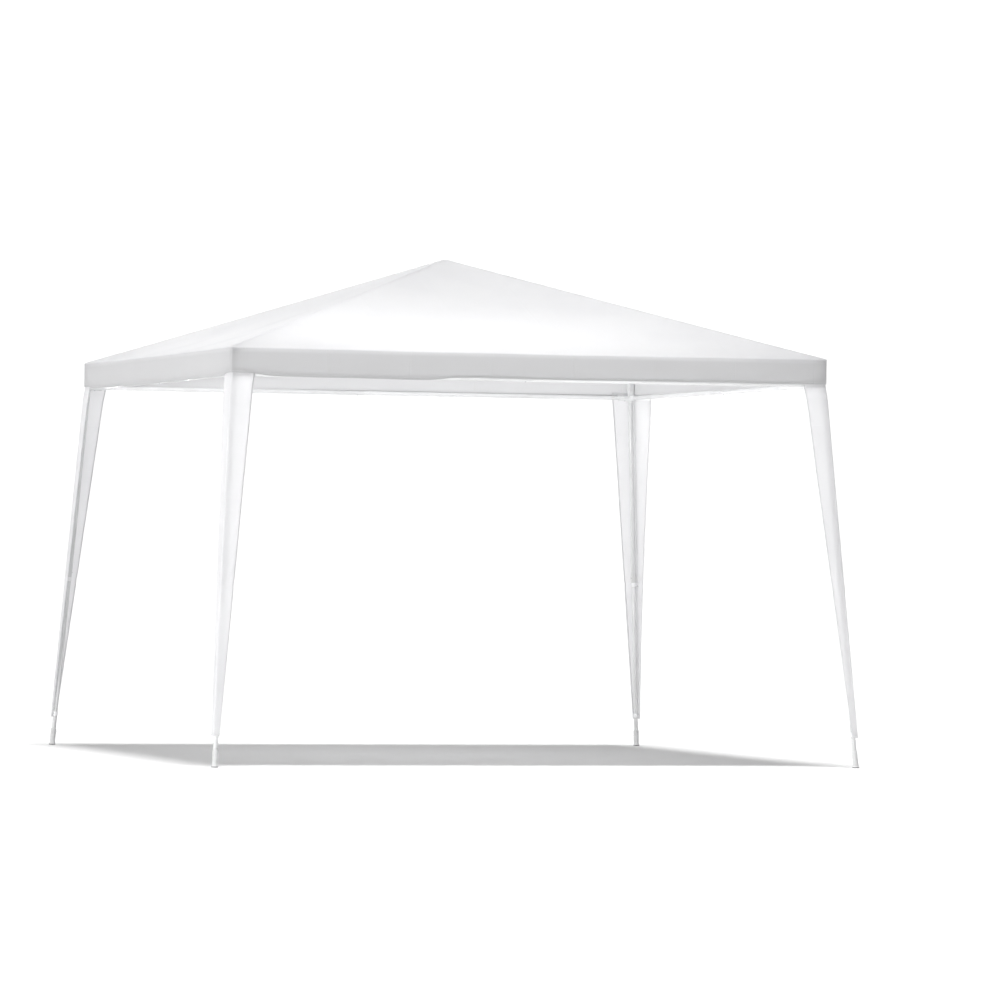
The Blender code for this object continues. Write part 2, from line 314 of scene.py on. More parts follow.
def coated_steel(tree, clean, dirty, wear):
    """Powder coat: fine orange peel, a little dust, and wear where tubes slide."""
    place = object_place(tree)
    dust = grain(tree, place, 7, 5)
    dusty = tint(tree, spread(tree, dust, 0.45, 0.8), clean, dirty)
    worn = spread(tree, grain(tree, place, 60, 4, (1, 1, 0.08)), 0.78 - wear, 0.86 - wear)
    return {
        "Base Color": tint(tree, worn, dusty, COAT_WORN),
        "Roughness": spread(tree, dust, 0.3, 0.8, 0.30, 0.46),
        "Normal": relief(tree, grain(tree, place, 900, 2), 0.00008, 0.5),
        "Coat Weight": 0.25,
        "Coat Roughness": 0.2,
    }


def plated_steel(tree):
    """Zinc-plated steel of spring buttons and screws."""
    cloud = grain(tree, object_place(tree), 400, 3)
    colour = tint(tree, cloud, STEEL_GREY, COAT_WORN)
    return {"Base Color": colour, "Metallic": 1.0, "Roughness": 0.35}


def tube_of(node):
    """Start, end and radius of a CAD tube, without its narrowed spigot."""
    points = [vert.co.copy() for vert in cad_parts[node].data.vertices]
    middle = sum(points, Vector()) / len(points)
    far = max(points, key=lambda point: (point - middle).length)
    axis = (far - middle).normalized()
    for _ in range(AXIS_PASSES):
        axis = sum(((point - middle).dot(axis) * (point - middle) for point in points), Vector())
        axis.normalize()
    along = [(point - middle).dot(axis) for point in points]
    around = [(point - middle - axis * reach).length for point, reach in zip(points, along)]
    radius = max(around)
    wall = [reach for reach, gap in zip(along, around) if gap > radius - TUBE_SAME]
    return middle + axis * min(wall), middle + axis * max(wall), radius


def tube_mesh(name, start, end, radius):
    """A round tube with softened ends."""
    length = (end - start).length
    bore = radius - TUBE_WALL
    edge = TUBE_EDGE
    corner = edge * ROUND_SHARE
    profile = [(radius, edge), (radius, length - edge), (radius - corner, length - corner)]
    profile += [(radius - edge, length), (bore, length), (bore, 0), (radius - edge, 0)]
    profile += [(radius - corner, corner)]
    return turned_mesh(name, profile, start, end, TUBE_SIDES)


def button_mesh(spot, outward):
    """A domed spring button that stands out of its hole in a tube."""
    rim = BUTTON_RADIUS + BUTTON_RIM
    profile = [(rim, -BUTTON_SINK), (rim, BUTTON_LIP)]
    for step in range(BUTTON_STEPS):
        angle = math.radians(90) * step / BUTTON_STEPS
        profile.append((BUTTON_RADIUS * math.cos(angle), BUTTON_RISE * math.sin(angle)))
    profile += [(BUTTON_EYE, BUTTON_RISE), (BUTTON_EYE, -BUTTON_SINK)]
    return turned_mesh("button", profile, spot, spot + outward, BUTTON_SIDES)


def lower_end(node):
    """The lower end of a tube, the direction up along it, and its radius."""
    start, end, radius = tubes[node]
    if start.z > end.z:
        start, end = end, start
    return start, (end - start).normalized(), radius


def inner_end(node):
    """The end of a level or sloping tube that is nearest the middle of the tent, and its outer end."""
    start, end, _ = tubes[node]
    return sorted((start, end), key=lambda point: point.xy.length)


coat = new_finish("white_coat", coated_steel, COAT_WHITE, COAT_DUSTY, 0.0)
# The legs' grey coat is painted shade.
leg_coat_painted_shade = new_finish("leg_coat_painted_shade", coated_steel, LEG_PAINTED_SHADE, LEG_DUSTY, LEG_WEAR)
plating = new_finish("plated_steel", plated_steel)
tubes = {}
for node in sorted(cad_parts):
    if node.split("_")[0] not in ("eave", "rafter", "upper", "lower"):
        continue
    tubes[node] = tube_of(node)
    finish = leg_coat_painted_shade if "leg" in node else coat
    settle(new_piece(f"{node}_tube", tube_mesh(node, *tubes[node]), finish), "frame_tube", node)

for place, side in PLACES.items():
    joint, up, radius = lower_end(f"upper_leg_{place}")
    inward = Vector((-side[0], 0, 0))
    inward = (inward - up * inward.dot(up)).normalized()
    spot = joint + up * BUTTON_FROM_JOINT + inward * radius
    settle(new_piece(f"leg_button_{place}", button_mesh(spot, inward), plating), "frame_tube")
for row, half in zip(ROWS, ROW_TUBES):
    node = f"eave_tube_{half}"
    joint, outer = inner_end(node)
    spot = joint + (outer - joint).normalized() * BUTTON_FROM_JOINT - UP * tubes[node][2]
    button = new_piece(f"eave_button_{row}", button_mesh(spot, -UP), plating)
    settle(button, "frame_tube")

# Corner and peak connectors.
# Each is moulded in one piece of white plastic, with sockets that the tubes are pushed into and, at
# the corners, a spigot that the leg slides on. A pan-head screw through each socket holds its tube.
CONNECTOR_EDGE = 0.0008
CONNECTOR_EDGE_STEPS = 2
CONNECTOR_WELD = 0.00002
CONNECTOR_FLAT = math.radians(1)
CONNECTOR_CREASE = math.radians(35)
PLASTIC_WHITE = (0.76, 0.765, 0.77)
PLASTIC_DUSTY = (0.68, 0.685, 0.69)
PLASTIC_ROUGHNESS = 0.45
SCREW_RADIUS = 0.0036
SCREW_RISE = 0.0022
SCREW_SLOT = 0.0006
SCREW_SIDES = 24
SCREW_HEAD = ((1, 0), (1, 0.45), (0.86, 0.8), (0.6, 0.95), (0.34, 1))
SCREW_SLOT_SHARE = 0.7
SCREW_CUT = 0.45
SCREW_EYE = 0.5
SCREW_SEED = 4
SCREW_FROM_END = 0.016
SOCKET_RISE = 0.0033


def moulded_plastic(tree, clean, dusty, roughness):
    """Moulded plastic: a fine spark-eroded grain, faint flow marks and patches of dust."""
    place = object_place(tree)
    cloud = spread(tree, grain(tree, place, 30, 5), 0.35, 0.7)
    flow = grain(tree, place, 90, 3)
    return {
        "Base Color": tint(tree, cloud, clean, dusty),
        "Roughness": spread(tree, flow, 0.3, 0.7, roughness - 0.07, roughness + 0.07),
        "Normal": relief(tree, grain(tree, place, 1500, 2), 0.0001, 0.6),
    }


def softened_copy(node, name, material):
    """A CAD node's shape with its flat faces joined and its edges rounded."""
    form = bmesh.new()
    form.from_mesh(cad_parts[node].data)
    bmesh.ops.remove_doubles(form, verts=form.verts, dist=CONNECTOR_WELD)
    bmesh.ops.dissolve_limit(form, angle_limit=CONNECTOR_FLAT, verts=form.verts, edges=form.edges)
    mesh = form_mesh(form, name)
    mesh.shade_smooth()
    piece = new_piece(name, mesh, material)
    bevel = piece.modifiers.new("edges", "BEVEL")
    bevel.width = CONNECTOR_EDGE
    bevel.segments = CONNECTOR_EDGE_STEPS
    bevel.limit_method = "ANGLE"
    bevel.angle_limit = CONNECTOR_CREASE
    bevel.harden_normals = True
    return piece


def screw_mesh():
    """A pan-head screw on +Z at the origin, with a cross cut in its head."""
    form = bmesh.new()
    rings = []
    for share, height in SCREW_HEAD:
        ring = round_ring(form, UP * SCREW_RISE * height, UP, SCREW_RADIUS * share, SCREW_SIDES)
        for vert in ring:
            if share < SCREW_SLOT_SHARE and min(abs(vert.co.x), abs(vert.co.y)) < SCREW_SLOT:
                vert.co.z -= SCREW_RISE * SCREW_CUT
        rings.append(ring)
    join_rings(form, rings)
    eye = form.verts.new((0, 0, SCREW_RISE * SCREW_EYE))
    for vert, after in zip(ring, ring[1:] + ring[:1]):
        form.faces.new((vert, after, eye))
    return form_mesh(form, "screw")


def growing_tree(name, inputs):
    """A geometry node tree that takes the inputs named. Returns it and their sockets."""
    tree = bpy.data.node_groups.new(name, "GeometryNodeTree")
    tree.is_modifier = True
    for label, kind in inputs.items():
        tree.interface.new_socket(label, in_out="INPUT", socket_type=f"NodeSocket{kind}")
    tree.interface.new_socket("Pieces", in_out="OUTPUT", socket_type="NodeSocketGeometry")
    return tree, tree.nodes.new("NodeGroupInput").outputs


def end_tree(tree, copying, finish):
    """Ends a tree with real copies of a shape on points, in one finish."""
    copies = add_node(tree, "GeometryNodeInstanceOnPoints", copying)
    solid = add_node(tree, "GeometryNodeRealizeInstances", {"Geometry": copies})
    done = add_node(tree, "GeometryNodeSetMaterial", {"Geometry": solid, "Material": finish})
    add_node(tree, "NodeGroupOutput", {"Pieces": done})


def aligned(tree, direction):
    """A rotation that turns +Z to a direction."""
    return add_node(tree, "FunctionNodeAlignRotationToVector", {"Vector": direction}, axis="Z")


def random_number(tree, seed, low, high):
    """A number for each point, between two."""
    inputs = {"Seed": seed, 2: low, 3: high}
    return add_node(tree, "FunctionNodeRandomValue", inputs, data_type="FLOAT").outputs[1]


def screws_tree():
    """One copy of a shape at each point, its Z turned to the point's facing and spun at random."""
    inputs = {"Places": "Geometry", "Shape": "Object", "Seed": "Int", "Finish": "Material"}
    tree, given = growing_tree("screws_at_points", inputs)
    points = add_node(tree, "GeometryNodeMeshToPoints", {"Mesh": given["Places"]})
    kind = "GeometryNodeInputNamedAttribute"
    facing = add_node(tree, kind, {"Name": "facing"}, data_type="FLOAT_VECTOR")
    inputs = {"Axis": UP, "Angle": random_number(tree, given["Seed"], 0, math.pi)}
    spin = add_node(tree, "FunctionNodeAxisAngleToRotation", inputs)
    inputs = {"Rotation": aligned(tree, facing), "Rotate By": spin}
    turned = add_node(tree, "FunctionNodeRotateRotation", inputs, rotation_space="LOCAL")
    shape = add_node(tree, "GeometryNodeObjectInfo", {"Object": given["Shape"]}).outputs["Geometry"]
    end_tree(tree, {"Points": points, "Instance": shape, "Rotation": turned}, given["Finish"])
    return tree


def grown_piece(name, mesh, tree, values):
    """A piece made by a geometry node tree from a mesh, turned into a plain mesh."""
    piece = new_piece(name, mesh)
    modifier = piece.modifiers.new("nodes", "NODES")
    modifier.node_group = tree
    for label, value in values.items():
        modifier[tree.interface.items_tree[label].identifier] = value
    settled = piece.evaluated_get(bpy.context.evaluated_depsgraph_get())
    grown = bpy.data.meshes.new_from_object(settled)
    piece.modifiers.clear()
    piece.data = grown
    return piece


def facing_points(spots):
    """A mesh of loose points, each with the direction that it faces."""
    mesh = bpy.data.meshes.new("facing_points")
    mesh.from_pydata([spot for spot, _ in spots], [], [])
    facing = mesh.attributes.new("facing", "FLOAT_VECTOR", "POINT")
    for item, (_, direction) in zip(facing.data, spots):
        item.vector = direction
    return mesh


def socket_screws():
    """Where the screws sit: under each socket, over the end of its tube."""
    spots = []
    for node, (_, _, radius) in tubes.items():
        if not node.startswith(("eave", "rafter")):
            continue
        other, tip = inner_end(node)
        if node.endswith("upper"):
            other, tip = tip, other
        along = (other - tip).normalized()
        facing = (along * along.z - UP).normalized()
        spots.append((tip + along * SCREW_FROM_END + facing * (radius + SOCKET_RISE), facing))
    return spots


white_plastic = (PLASTIC_WHITE, PLASTIC_DUSTY, PLASTIC_ROUGHNESS)
plastic = new_finish("connector_white", moulded_plastic, *white_plastic)
for node in [f"corner_connector_{place}" for place in PLACES] + ["peak_connector"]:
    settle(softened_copy(node, f"{node}_moulding", plastic), "connector_plastic", node)
screw = new_piece("screw", screw_mesh())
spots = facing_points(socket_screws())
values = {"Shape": screw, "Seed": SCREW_SEED, "Finish": plating}
screws = grown_piece("socket_screws", spots, screws_tree(), values)
bpy.data.objects.remove(screw)
settle(screws, "connector_plastic")

# Foot caps.
# A grey plastic boot with ribs for grip is pushed on the end of each leg. Its sole is a flat disc,
# darker where it meets the ground.
CAP_GREY = (0.62, 0.625, 0.63)
CAP_DUSTY = (0.55, 0.55, 0.55)
CAP_SOLE = (0.10, 0.10, 0.105)
CAP_ROUGHNESS = 0.55
SOLE_TOP = 0.004
SOLE_BLUR = 0.0006
CAP_ANKLE = 0.016
CAP_RIB = 0.0005
CAP_RIBS = 7
CAP_RIB_STEPS = 4
CAP_RIB_START = 0.022
CAP_RIB_END = 0.060
CAP_SIDES = 40
CAP_BORE = 0.0114
CAP_BORE_DEPTH = 0.05
CAP_EYE = 0.0005
CAP_FOOT = ((-0.0012, 0), (0, 0.0012), (0, SOLE_TOP), (-0.0006, SOLE_TOP + 0.0008))
CAP_THROAT = ((0.0009, 0.0075), (0.0002, 0.011), (0, CAP_ANKLE))
CAP_MOUTH = ((0, -0.006), (0, -0.0008), (-0.0008, 0))
CAP_CREASE = math.radians(55)


def apart(tree, where):
    """The X, Y and Z of a vector."""
    return add_node(tree, "ShaderNodeSeparateXYZ", {0: where}).outputs


def soled_plastic(tree):
    """Grey plastic over a dark sole."""
    inputs = moulded_plastic(tree, CAP_GREY, CAP_DUSTY, CAP_ROUGHNESS)
    level = apart(tree, object_place(tree))["Z"]
    sole = spread(tree, level, SOLE_TOP, SOLE_TOP + SOLE_BLUR, 1.0, 0.0)
    inputs["Base Color"] = tint(tree, sole, inputs["Base Color"], CAP_SOLE)
    return inputs


def cap_profile(pad, sleeve, mouth):
    """Radius and distance up from the sole's edge, over the ribs, and down into the bore."""
    profile = [(pad + wider, distance) for wider, distance in CAP_FOOT]
    profile += [(sleeve + wider, distance) for wider, distance in CAP_THROAT]
    steps = CAP_RIBS * CAP_RIB_STEPS
    for step in range(steps + 1):
        wave = 0.5 - 0.5 * math.cos(2 * math.pi * CAP_RIBS * step / steps)
        distance = CAP_RIB_START + (CAP_RIB_END - CAP_RIB_START) * step / steps
        profile.append((sleeve - CAP_RIB * wave, distance))
    profile += [(sleeve + wider, mouth + distance) for wider, distance in CAP_MOUTH]
    bottom = mouth - CAP_BORE_DEPTH
    return profile + [(CAP_BORE, mouth), (CAP_BORE, bottom), (CAP_EYE, bottom)]


def smooth(value):
    """0 below 0, 1 above 1, and an even S between."""
    value = min(max(value, 0), 1)
    return value * value * (3 - 2 * value)


def cap_mesh(place):
    """A boot from the sole, which is level, up to its mouth, which is square to the leg."""
    low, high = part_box(f"foot_cap_{place}")
    end, up, radius = lower_end(f"lower_leg_{place}")
    ground = end - up * end.z / up.z
    sleeve = radius + SOCKET_RISE
    mouth = (high.z - sleeve * math.sqrt(1 - up.z ** 2)) / up.z
    pad = min(high.x - ground.x, ground.x - low.x)
    form = bmesh.new()
    rings = []
    for reach, distance in cap_profile(pad, sleeve, mouth):
        axis = UP.lerp(up, smooth(distance / CAP_ANKLE)).normalized()
        rings.append(round_ring(form, ground + up * distance, axis, reach, CAP_SIDES))
    join_rings(form, rings)
    form.faces.new(rings[0])
    form.faces.new(rings[-1])
    return creased_mesh(form, f"foot_cap_{place}", CAP_CREASE)


cap_plastic = new_finish("foot_cap_plastic", soled_plastic)
for place in PLACES:
    cap = new_piece(f"foot_cap_{place}_boot", cap_mesh(place), cap_plastic)
    settle(cap, "foot_plastic", f"foot_cap_{place}")

# Canopy.
# Four triangles of white woven polyethylene are sewn along the hips, and turn down round the eaves
# as a hemmed skirt. The inside face is painted whiter, as light coming through the cloth, and the
# skirt's outside is painted greyer, as shade on it. The cloth is pulled over the peak and corner
# connectors, so between the rafters it hangs only a little below a flat sheet.
CLOTH_DEPTH = 0.0010
ROOF_SLACK = 0.030
ROOF_RIPPLE = 0.0025
ROOF_WAVES = (4, 5, 7.3)
BELLY_LOW = 1.5
BELLY_MOST = 0.186
EAVE_SLACK = 0.004
PEAK_ROUND = 0.012
HIP_ROUND = 0.030
FOLD_ROUND = 0.009
CORNER_ROUND = 0.012
CORNER_BLEND = 0.25
BEND_MOST = 0.45
HEM_GAP = 0.0022
HEM_DEPTH = 0.012
SKIRT_SWELL = 0.006
SKIRT_WAVES = (9, 1, 4.7)
HEM_CURL = 0.2857
HEM_SAGS = {
    "front": ((-0.90, -0.30, 0.014),),
    "right": ((-0.10, 0.80, 0.004),),
    "back": ((0.25, 0.90, 0.009),),
    "left": ((-0.90, 0.92, 0.014),),
}
SAG_EASE = 0.10
ROOF_ROWS = 50
ROOF_ROW_EASE = 1.15
FOLD_STEPS = 5
SKIRT_STEPS = 9
HEM_TURN_STEPS = 4
SIDE_STEPS = 64
CORNER_STEPS = 3

skirt_low, skirt_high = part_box("valance_front")
CAD_SHEET = skirt_high.y - skirt_low.y
EAVE_OUT = -skirt_low.y
HEM_LOW = skirt_low.z
PEAK_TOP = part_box("roof_panel_front")[1].z
FOLD_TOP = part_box("roof_panel_front")[0].z + CAD_SHEET
PITCH = (PEAK_TOP - FOLD_TOP) / EAVE_OUT
RISE = math.hypot(1, PITCH)
FOLD_OUT = EAVE_OUT - FOLD_ROUND
FOLD_CENTRE = PEAK_TOP - PITCH * FOLD_OUT - FOLD_ROUND * RISE
SKIRT_DROP = FOLD_CENTRE - HEM_LOW - HEM_GAP / 2
SKIRT_EDGE = (FOLD_TOP - 0.030, FOLD_TOP - 0.012)

Ring = namedtuple("Ring", "out height path bend hang tilt")


def roof_ring(out):
    """The ring of the roof at a plan distance from the peak."""
    blend = smooth((out - EAVE_OUT + CORNER_BLEND) / CORNER_BLEND)
    bend = min(HIP_ROUND + (CORNER_ROUND - HIP_ROUND) * blend, BEND_MOST * out)
    height = PEAK_TOP - PITCH * math.hypot(out, PEAK_ROUND)
    return Ring(out, height, out * RISE, bend, 0, math.atan2(1, PITCH))


def skirt_ring(hang, path):
    """The ring of the skirt at a share of its drop."""
    height = FOLD_CENTRE - SKIRT_DROP * hang
    return Ring(EAVE_OUT, height, path + SKIRT_DROP * hang, CORNER_ROUND, hang, 0)


def outer_rings():
    """Rings down the outside of the cloth: the roof, the fold at the eaves and the skirt."""
    last = FOLD_OUT + FOLD_ROUND * PITCH / RISE
    shares = [(step / ROOF_ROWS) ** ROOF_ROW_EASE for step in range(1, ROOF_ROWS + 1)]
    rings = [roof_ring(last * share) for share in shares]
    path = rings[-1].path
    tilt = rings[-1].tilt
    for step in range(1, FOLD_STEPS + 1):
        angle = tilt * (1 - step / FOLD_STEPS)
        out = FOLD_OUT + FOLD_ROUND * math.cos(angle)
        height = FOLD_CENTRE + FOLD_ROUND * math.sin(angle)
        rings.append(Ring(out, height, path + FOLD_ROUND * (tilt - angle), CORNER_ROUND, 0, angle))
    path = rings[-1].path
    return rings + [skirt_ring(step / SKIRT_STEPS, path) for step in range(1, SKIRT_STEPS + 1)]


def hem_rings(edge):
    """Rings from the skirt's edge round and up inside, where the hem is sewn."""
    turn = HEM_GAP / 2
    rings = []
    for step in range(1, HEM_TURN_STEPS + 1):
        angle = math.pi * step / HEM_TURN_STEPS
        inset = turn * (1 - math.cos(angle))
        height = HEM_LOW + turn - turn * math.sin(angle)
        path = edge.path + turn * angle
        rings.append(Ring(EAVE_OUT - inset, height, path, CORNER_ROUND - inset, 1, -angle))
    for step in (1, 2):
        height = HEM_LOW + turn + HEM_DEPTH * step / 2
        rings.append(rings[-1]._replace(height=height, path=rings[-1].path + HEM_DEPTH / 2))
    return rings


def plateau(value, low, high):
    """1 between low and high, easing to 0 outside."""
    return smooth((value - low) / SAG_EASE + 0.5) * smooth((high - value) / SAG_EASE + 0.5)


def ripple(waves, across, down, row):
    """Noise on a side's cloth, in waves across and down, and unlike the other sides'."""
    return noise.noise(Vector((across * waves[0], down * waves[1], ROWS.index(row) * waves[2])))


def slack(row, across, ring):
    """How far the cloth hangs below a flat panel, and how far its skirt stands out."""
    across = min(max(across, -1), 1)
    span = 1 - across * across
    down = min(ring.out / EAVE_OUT, 1)
    belly = down ** BELLY_LOW * (1 - down) / BELLY_MOST
    fall = span * (ROOF_SLACK * belly + EAVE_SLACK * down ** 4)
    fall += span * down * ROOF_RIPPLE * ripple(ROOF_WAVES, across, down, row)
    sag = sum(depth * plateau(across, low, high) for low, high, depth in HEM_SAGS[row])
    fall += sag * ring.hang
    wave = 0.5 + ripple(SKIRT_WAVES, across, ring.hang, row)
    swell = SKIRT_SWELL * ring.hang * math.sqrt(span) * wave
    return fall, swell - HEM_CURL * sag * ring.hang ** 3


def quarter_turned(point, row):
    """A point of the front side, turned to another side."""
    x, y, z = point
    for _ in range(ROWS.index(row)):
        x, y = -y, x
    return Vector((x, y, z))


def canopy_point(row, share, turn, ring, lift=0.0):
    """A point on the cloth: share runs along a side's straight stretch, turn goes round its corner."""
    straight = ring.out - ring.bend
    along = share * straight + ring.bend * math.sin(turn)
    out = straight + ring.bend * math.cos(turn)
    fall, swell = slack(row, along / ring.out, ring)
    flat = math.cos(ring.tilt) * lift
    along += flat * math.sin(turn)
    out += flat * math.cos(turn) + swell
    return quarter_turned((along, -out, ring.height - fall + math.sin(ring.tilt) * lift), row)


def cloth_spot(share, turn, ring):
    """Where a point lies on its panel's own cloth: metres across and down."""
    return share * (ring.out - ring.bend) + ring.bend * turn, ring.path


def side_columns():
    """A side's columns, from the middle of its left corner to that of its right, as share and turn."""
    turns = [math.radians(45) * step / CORNER_STEPS for step in range(1, CORNER_STEPS + 1)]
    columns = [(-1, -turn) for turn in reversed(turns)]
    columns += [(2 * step / SIDE_STEPS - 1, 0) for step in range(SIDE_STEPS + 1)]
    return columns + [(1, turn) for turn in turns]


def lay_face(form, layer, verts, spots):
    """A smooth face, and where its corners lie on the flat cloth."""
    face = form.faces.new(verts)
    face.smooth = True
    for corner, spot in zip(face.loops, spots):
        corner[layer].uv = spot


def canopy_mesh(rings):
    """The roof, the skirt and the hem as one sheet. Its UV map is in metres: across and down."""
    form = bmesh.new()
    layer = form.loops.layers.uv.new("cloth")
    columns = side_columns()
    peak = form.verts.new((0, 0, PEAK_TOP - PITCH * PEAK_ROUND))
    loops = []
    for ring in rings:
        loop = []
        for row in ROWS:
            loop += [form.verts.new(canopy_point(row, *column, ring)) for column in columns[:-1]]
        loops.append(loop)
    for here in range(len(loops[0])):
        there = (here + 1) % len(loops[0])
        step = here % (len(columns) - 1)
        spots = [[cloth_spot(*column, ring) for column in columns[step:step + 2]] for ring in rings]
        lay_face(form, layer, (peak, loops[0][here], loops[0][there]), [(0, 0)] + spots[0])
        for i in range(len(rings) - 1):
            upper, lower = loops[i], loops[i + 1]
            verts = (upper[here], lower[here], lower[there], upper[there])
            corners = (spots[i][0], spots[i + 1][0], spots[i + 1][1], spots[i][1])
            lay_face(form, layer, verts, corners)
    return form_mesh(form, "canopy")


WEAVE_TAPE = 0.0022
CREASE_PITCH = 0.42
CREASE_START = 4.41
CREASE_WIDTH = 0.006
CREASE_DEPTH = 0.0012
WEAVE_DEPTH = 0.00025
WRINKLE_DEPTH = 0.004


def calc(tree, operation, *values):
    """A Math node on sockets or numbers. Returns its output."""
    return add_node(tree, "ShaderNodeMath", dict(enumerate(values)), operation=operation).outputs[0]


def weave_height(tree, across, down, tape=WEAVE_TAPE):
    """Height of a plain weave of flat tapes, 0 in the gaps and 1 on the crowns."""
    tapes = [calc(tree, "DIVIDE", value, tape) for value in (across, down)]
    parity = calc(tree, "ADD", *[calc(tree, "FLOOR", value) for value in tapes])
    parity = calc(tree, "FLOORED_MODULO", parity, 2)
    crowns = []
    humps = []
    for value in tapes:
        inside = calc(tree, "FRACT", value)
        centred = calc(tree, "MULTIPLY_ADD", inside, 2, -1)
        flat = calc(tree, "POWER", calc(tree, "ABSOLUTE", centred), 4)
        crowns.append(calc(tree, "SUBTRACT", 1, flat))
        wave = calc(tree, "SINE", calc(tree, "MULTIPLY", inside, math.pi))
        humps.append(calc(tree, "MULTIPLY_ADD", wave, 0.6, 0.4))
    warp = calc(tree, "MULTIPLY", calc(tree, "MULTIPLY", crowns[0], humps[1]), parity)
    other = calc(tree, "SUBTRACT", 1, parity)
    weft = calc(tree, "MULTIPLY", calc(tree, "MULTIPLY", crowns[1], humps[0]), other)
    return calc(tree, "ADD", warp, weft)


def crease_height(tree, across, down):
    """Ridges of the folds that the cloth was packed in, a regular grid that has half smoothed out."""
    ridges = []
    for value in (across, down):
        near = calc(tree, "PINGPONG", calc(tree, "ADD", value, CREASE_START), CREASE_PITCH / 2)
        ridges.append(spread(tree, near, 0.0, CREASE_WIDTH, 1.0, 0.0))
    return calc(tree, "MAXIMUM", *ridges)


def on_cloth(tree):
    """Metres across and down the cloth, from its UV map."""
    spots = add_node(tree, "ShaderNodeUVMap", {}, uv_map="cloth")
    return apart(tree, spots.outputs["UV"])[:2]


def woven_cloth(tree, white, grey, through, skirt=None, creased=1.0):
    """Woven polyethylene tape under a thin film: flat weave with painted shade in its gaps, packing
    creases, dust and a soft shine.

    Through is the share of light that each face passes on. Skirt is the colour and the share for the
    cloth below the eaves; on the outside that colour is a painted shade, greyer than the roof's.
    """
    place = object_place(tree)
    across, down = on_cloth(tree)
    weave = weave_height(tree, across, down)
    cloud = grain(tree, place, 2.2, 6)
    dusty = calc(tree, "MULTIPLY", spread(tree, cloud, 0.42, 0.75), 0.5)
    # Painted shade: the weave's gaps are tinted grey, as shade between the tapes.
    gaps = spread(tree, weave, 0.0, 0.35, 0.4, 0.0)
    colour = tint(tree, calc(tree, "MAXIMUM", dusty, gaps), white, grey)
    if skirt is not None:
        shade, share = skirt
        # Painted shade: below the eaves the colour is tinted towards the skirt's colour.
        below = spread(tree, apart(tree, place)["Z"], *SKIRT_EDGE, 1.0, 0.0)
        colour = tint(tree, calc(tree, "MULTIPLY", below, SKIRT_PAINTED_SHADE_MIX), colour, shade)
        through = calc(tree, "MULTIPLY_ADD", below, share - through, through)
    normal = relief(tree, grain(tree, place, 9, 4), WRINKLE_DEPTH, 0.08 * creased)
    normal = relief(tree, crease_height(tree, across, down), CREASE_DEPTH, 0.5 * creased, normal)
    normal = relief(tree, weave, WEAVE_DEPTH, 0.5, normal)
    glow = add_node(tree, "ShaderNodeBsdfTranslucent", {"Color": colour, "Normal": normal})
    layers = {0: through, 1: tree.nodes["Principled BSDF"], 2: glow}
    mix = add_node(tree, "ShaderNodeMixShader", layers)
    fill_node(tree, tree.nodes["Material Output"], {"Surface": mix})
    return {
        "Base Color": colour,
        "Roughness": spread(tree, cloud, 0.3, 0.7, 0.42, 0.58),
        "Specular IOR Level": 0.35,
        "Normal": normal,
    }


def thicken(piece, depth, offset=-1):
    """Gives a sheet its depth, inwards or by half each way. Its inner face takes the last finish."""
    modifier = piece.modifiers.new("depth", "SOLIDIFY")
    modifier.thickness = depth
    modifier.offset = offset
    modifier.material_offset = len(piece.data.materials) - 1


CANOPY_WHITE = (0.77, 0.77, 0.775)
CANOPY_GREY = (0.715, 0.715, 0.725)
CANOPY_THROUGH = 0.70
# Painted shade: the skirt's greyer colour stands in for the shade on it.
SKIRT_PAINTED_SHADE = (0.66, 0.66, 0.665)
SKIRT_THROUGH = 0.45
SKIRT_PAINTED_SHADE_MIX = 0.8
# Painted light: the inside face is whiter, standing in for light coming through the cloth.
INSIDE_PAINTED_LIGHT = (0.885, 0.885, 0.89)
INSIDE_PAINTED_LIGHT_GREY = (0.825, 0.825, 0.835)

outside = outer_rings()
roofing = (CANOPY_WHITE, CANOPY_GREY, CANOPY_THROUGH, (SKIRT_PAINTED_SHADE, SKIRT_THROUGH))
painted_light_lining = (INSIDE_PAINTED_LIGHT, INSIDE_PAINTED_LIGHT_GREY, CANOPY_THROUGH, (INSIDE_PAINTED_LIGHT, SKIRT_THROUGH))
canopy_cloth = new_finish("canopy_cloth", woven_cloth, *roofing)
canopy_inside_painted_light = new_finish("canopy_inside_painted_light", woven_cloth, *painted_light_lining)
canopy_form = canopy_mesh(outside + hem_rings(outside[-1]))
canopy = new_piece("canopy_sheet", canopy_form, canopy_cloth, canopy_inside_painted_light)
thicken(canopy, CLOTH_DEPTH)
panels = [f"{part}_{row}" for part in ("roof_panel", "valance") for row in ROWS]
settle(canopy, "canopy_fabric", *panels)

# Seams and stitching.
# The panels are joined by a tape of the same cloth that runs from the peak down each hip to the
# eaves, with two rows of stitches. One more row holds the hem, and one edges the eaves.
TAPE_HALF = 0.008
TAPE_RISE = 0.0009
TAPE_LOW = 0.0002
TAPE_START = 0.055
TAPE_COLUMNS = (-1, -0.9, -0.6, -0.2, 0.2, 0.6, 0.9, 1)
TAPE_ROW = 0.0055
STITCH_PITCH = 0.0065
STITCH_LENGTH = 0.0048
STITCH_RADIUS = 0.00045
STITCH_SINK = 0.0001
STITCH_SIZES = (0.85, 1.05)
STITCH_SIDES = 5
HEM_ROW = 0.008
HEM_SEED = 11
EAVE_ROW = 0.012
EAVE_SEED = 12
THREAD_WHITE = (0.88, 0.88, 0.89)
THREAD_GREY = (0.72, 0.72, 0.74)


